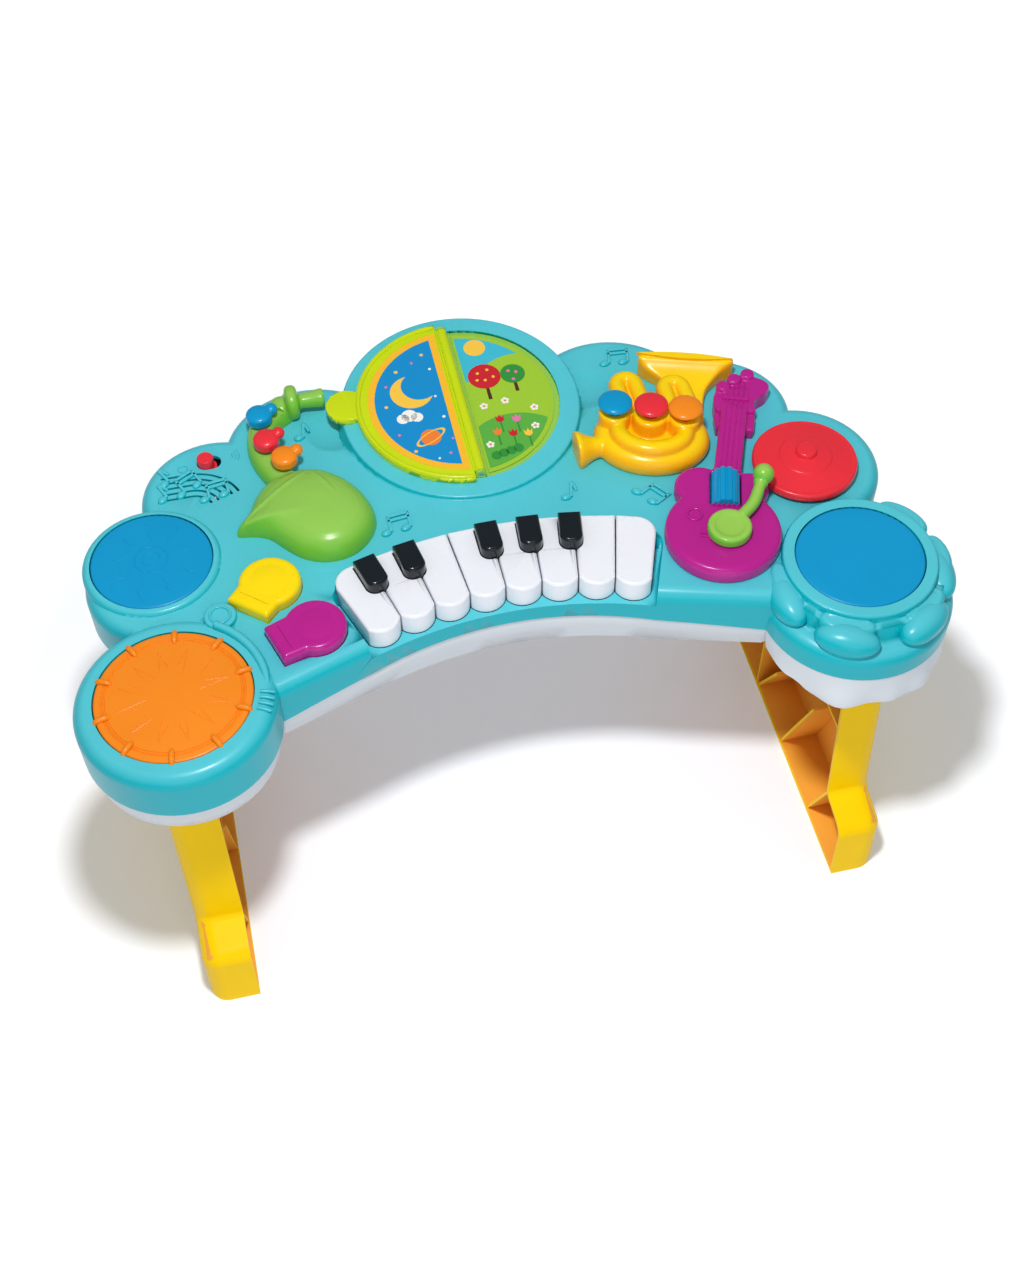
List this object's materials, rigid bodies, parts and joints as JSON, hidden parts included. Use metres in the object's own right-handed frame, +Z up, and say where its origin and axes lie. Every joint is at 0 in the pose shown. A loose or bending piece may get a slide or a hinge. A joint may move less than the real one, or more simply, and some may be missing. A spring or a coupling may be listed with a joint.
{
  "type": "musical activity table",
  "caption": "low music table for a toddler: crescent deck with drums, fan keyboard, castanets, saxophone, trumpet, guitar and song book on two folding legs",
  "frame": {"origin": "on the floor, under the centre of the table's bounding box", "axes": "+X to the right of the child who plays, +Y away from the child, +Z up"},
  "size_m": [0.55, 0.3589, 0.273],
  "materials": {
    "shell_plastic": "soft satin",
    "base_plastic": "satin",
    "screw_steel": "plain",
    "pin_steel": "plain",
    "cell_jacket": "gloss",
    "contact_metal": "plain",
    "board_green": "satin",
    "dome_rubber": "matt",
    "white_plastic": "gloss",
    "black_plastic": "gloss",
    "sax_green": "satin",
    "trumpet_yellow": "satin",
    "guitar_purple": "satin",
    "bed_green": "satin",
    "picture_print": "printed sheet",
    "leg_yellow": "satin",
    "orange_plastic": "satin",
    "blue_plastic": "satin",
    "roller_blue": "gloss",
    "red_plastic": "satin",
    "castanet_yellow": "gloss",
    "castanet_purple": "gloss",
    "lever_green": "gloss",
    "page_lime": "satin"
  },
  "bodies": {
    "table": {"top_shell": "shell_plastic", "bottom_base": "base_plastic", "battery_door": "base_plastic", "door_screw": "screw_steel", "battery_cells": "cell_jacket", "battery_contacts": "contact_metal", "main_board": "board_green", "key_board": "board_green", "key_domes": "dome_rubber", "key_rail": "white_plastic", "key_pins": "pin_steel", "black_keys": "black_plastic", "pad_switches": "board_green", "sax_key_board": "board_green", "valve_board": "board_green", "slide_switch": "contact_metal", "speaker": "black_plastic", "speaker_ring": "black_plastic", "case_screws": "screw_steel", "sax_body": "sax_green", "trumpet_body": "trumpet_yellow", "guitar_body": "guitar_purple", "roller_axle": "pin_steel", "book_bed": "bed_green", "right_picture": "picture_print", "left_picture": "picture_print", "page_pin": "pin_steel", "left_leg_pins": "pin_steel", "right_leg_pins": "pin_steel"},
    "orange_drum": {"orange_drum_pad": "orange_plastic"},
    "left_blue_drum": {"left_blue_drum_pad": "blue_plastic"},
    "tambourine": {"tambourine_pad": "blue_plastic"},
    "cymbal": {"cymbal_pad": "red_plastic"},
    "yellow_castanet_button": {"yellow_castanet": "castanet_yellow"},
    "purple_castanet_button": {"purple_castanet": "castanet_purple"},
    "orange_sax_key": {"sax_key_orange": "orange_plastic"},
    "red_sax_key": {"sax_key_red": "red_plastic"},
    "blue_sax_key": {"sax_key_blue": "blue_plastic"},
    "blue_valve": {"trumpet_valve_blue": "blue_plastic"},
    "red_valve": {"trumpet_valve_red": "red_plastic"},
    "orange_valve": {"trumpet_valve_orange": "orange_plastic"},
    "roller": {"guitar_roller": "roller_blue"},
    "lever": {"guitar_lever": "lever_green", "lever_screw": "screw_steel"},
    "page": {"book_page": "page_lime", "page_front_picture": "picture_print", "page_back_picture": "picture_print"},
    "switch_knob": {"power_switch": "red_plastic"},
    "left_leg_body": {"left_leg": "leg_yellow"},
    "right_leg_body": {"right_leg": "leg_yellow"},
    "key_1": {"white_key_1": "white_plastic"},
    "key_2": {"white_key_2": "white_plastic"},
    "key_3": {"white_key_3": "white_plastic"},
    "key_4": {"white_key_4": "white_plastic"},
    "key_5": {"white_key_5": "white_plastic"},
    "key_6": {"white_key_6": "white_plastic"},
    "key_7": {"white_key_7": "white_plastic"},
    "key_8": {"white_key_8": "white_plastic"}
  },
  "joints": [
    {"name": "orange_drum_press", "type": "slide", "parent": "table", "child": "orange_drum", "axis": [0, 0, 1], "range_m": [-0.0025, 0], "stiffness_N_per_m": 300, "springref_m": 0.004},
    {"name": "left_blue_drum_press", "type": "slide", "parent": "table", "child": "left_blue_drum", "axis": [0, 0, 1], "range_m": [-0.0025, 0], "stiffness_N_per_m": 300, "springref_m": 0.004},
    {"name": "tambourine_press", "type": "slide", "parent": "table", "child": "tambourine", "axis": [0, 0, 1], "range_m": [-0.0025, 0], "stiffness_N_per_m": 300, "springref_m": 0.004},
    {"name": "cymbal_press", "type": "slide", "parent": "table", "child": "cymbal", "axis": [0, 0, 1], "range_m": [-0.0025, 0], "stiffness_N_per_m": 300, "springref_m": 0.004},
    {"name": "yellow_castanet_press", "type": "slide", "parent": "table", "child": "yellow_castanet_button", "axis": [0, 0, 1], "range_m": [-0.0025, 0], "stiffness_N_per_m": 300, "springref_m": 0.004},
    {"name": "purple_castanet_press", "type": "slide", "parent": "table", "child": "purple_castanet_button", "axis": [0, 0, 1], "range_m": [-0.0025, 0], "stiffness_N_per_m": 300, "springref_m": 0.004},
    {"name": "orange_sax_key_press", "type": "slide", "parent": "table", "child": "orange_sax_key", "axis": [0, 0, 1], "range_m": [-0.0025, 0], "stiffness_N_per_m": 300, "springref_m": 0.004},
    {"name": "red_sax_key_press", "type": "slide", "parent": "table", "child": "red_sax_key", "axis": [0, 0, 1], "range_m": [-0.0025, 0], "stiffness_N_per_m": 300, "springref_m": 0.004},
    {"name": "blue_sax_key_press", "type": "slide", "parent": "table", "child": "blue_sax_key", "axis": [0, 0, 1], "range_m": [-0.0025, 0], "stiffness_N_per_m": 300, "springref_m": 0.004},
    {"name": "blue_valve_press", "type": "slide", "parent": "table", "child": "blue_valve", "axis": [0, 0, 1], "range_m": [-0.004, 0], "stiffness_N_per_m": 300, "springref_m": 0.004},
    {"name": "red_valve_press", "type": "slide", "parent": "table", "child": "red_valve", "axis": [0, 0, 1], "range_m": [-0.004, 0], "stiffness_N_per_m": 300, "springref_m": 0.004},
    {"name": "orange_valve_press", "type": "slide", "parent": "table", "child": "orange_valve", "axis": [0, 0, 1], "range_m": [-0.004, 0], "stiffness_N_per_m": 300, "springref_m": 0.004},
    {"name": "key_1_press", "type": "hinge", "parent": "table", "child": "key_1", "pos_m": [-0.10143, -0.0184, 0.2336], "axis": [0.9537, 0.3007, 0], "range_deg": [0, 3], "stiffness_Nm_per_rad": 0.4, "springref_deg": -5.73},
    {"name": "key_2_press", "type": "hinge", "parent": "table", "child": "key_2", "pos_m": [-0.07429, -0.01113, 0.2336], "axis": [0.9763, 0.2164, 0], "range_deg": [0, 3], "stiffness_Nm_per_rad": 0.4, "springref_deg": -5.73},
    {"name": "key_3_press", "type": "hinge", "parent": "table", "child": "key_3", "pos_m": [-0.04663, -0.00626, 0.2336], "axis": [0.9914, 0.1305, 0], "range_deg": [0, 3], "stiffness_Nm_per_rad": 0.4, "springref_deg": -5.73},
    {"name": "key_4_press", "type": "hinge", "parent": "table", "child": "key_4", "pos_m": [-0.01864, -0.00381, 0.2336], "axis": [0.999, 0.0436, 0], "range_deg": [0, 3], "stiffness_Nm_per_rad": 0.4, "springref_deg": -5.73},
    {"name": "key_5_press", "type": "hinge", "parent": "table", "child": "key_5", "pos_m": [0.00945, -0.00381, 0.2336], "axis": [0.999, -0.0436, 0], "range_deg": [0, 3], "stiffness_Nm_per_rad": 0.4, "springref_deg": -5.73},
    {"name": "key_6_press", "type": "hinge", "parent": "table", "child": "key_6", "pos_m": [0.03743, -0.00626, 0.2336], "axis": [0.9914, -0.1305, 0], "range_deg": [0, 3], "stiffness_Nm_per_rad": 0.4, "springref_deg": -5.73},
    {"name": "key_7_press", "type": "hinge", "parent": "table", "child": "key_7", "pos_m": [0.06509, -0.01113, 0.2336], "axis": [0.9763, -0.2164, 0], "range_deg": [0, 3], "stiffness_Nm_per_rad": 0.4, "springref_deg": -5.73},
    {"name": "key_8_press", "type": "hinge", "parent": "table", "child": "key_8", "pos_m": [0.09223, -0.0184, 0.2336], "axis": [0.9537, -0.3007, 0], "range_deg": [0, 3], "stiffness_Nm_per_rad": 0.4, "springref_deg": -5.73},
    {"name": "roller_spin", "type": "hinge", "parent": "table", "child": "roller", "pos_m": [0.1491, -0.0237, 0.2485], "axis": [0.2924, 0.9563, 0], "continuous": true},
    {"name": "lever_swing", "type": "hinge", "parent": "table", "child": "lever", "pos_m": [0.1399, -0.06, 0.25], "axis": [0, 0, 1], "range_deg": [-20, 10]},
    {"name": "page_turn", "type": "hinge", "parent": "table", "child": "page", "pos_m": [0, 0.09537, 0.2503], "axis": [0, 0.9983, 0.0576], "range_deg": [0, 180]},
    {"name": "switch_slide", "type": "slide", "parent": "table", "child": "switch_knob", "axis": [1, 0, 0], "range_m": [0, 0.004]},
    {"name": "left_leg_fold", "type": "hinge", "parent": "table", "child": "left_leg_body", "pos_m": [-0.199, -0.046, 0.1955], "axis": [0, -1, 0], "range_deg": [0, 90]},
    {"name": "right_leg_fold", "type": "hinge", "parent": "table", "child": "right_leg_body", "pos_m": [0.199, -0.046, 0.1955], "axis": [0, 1, 0], "range_deg": [0, 90]}
  ]
}
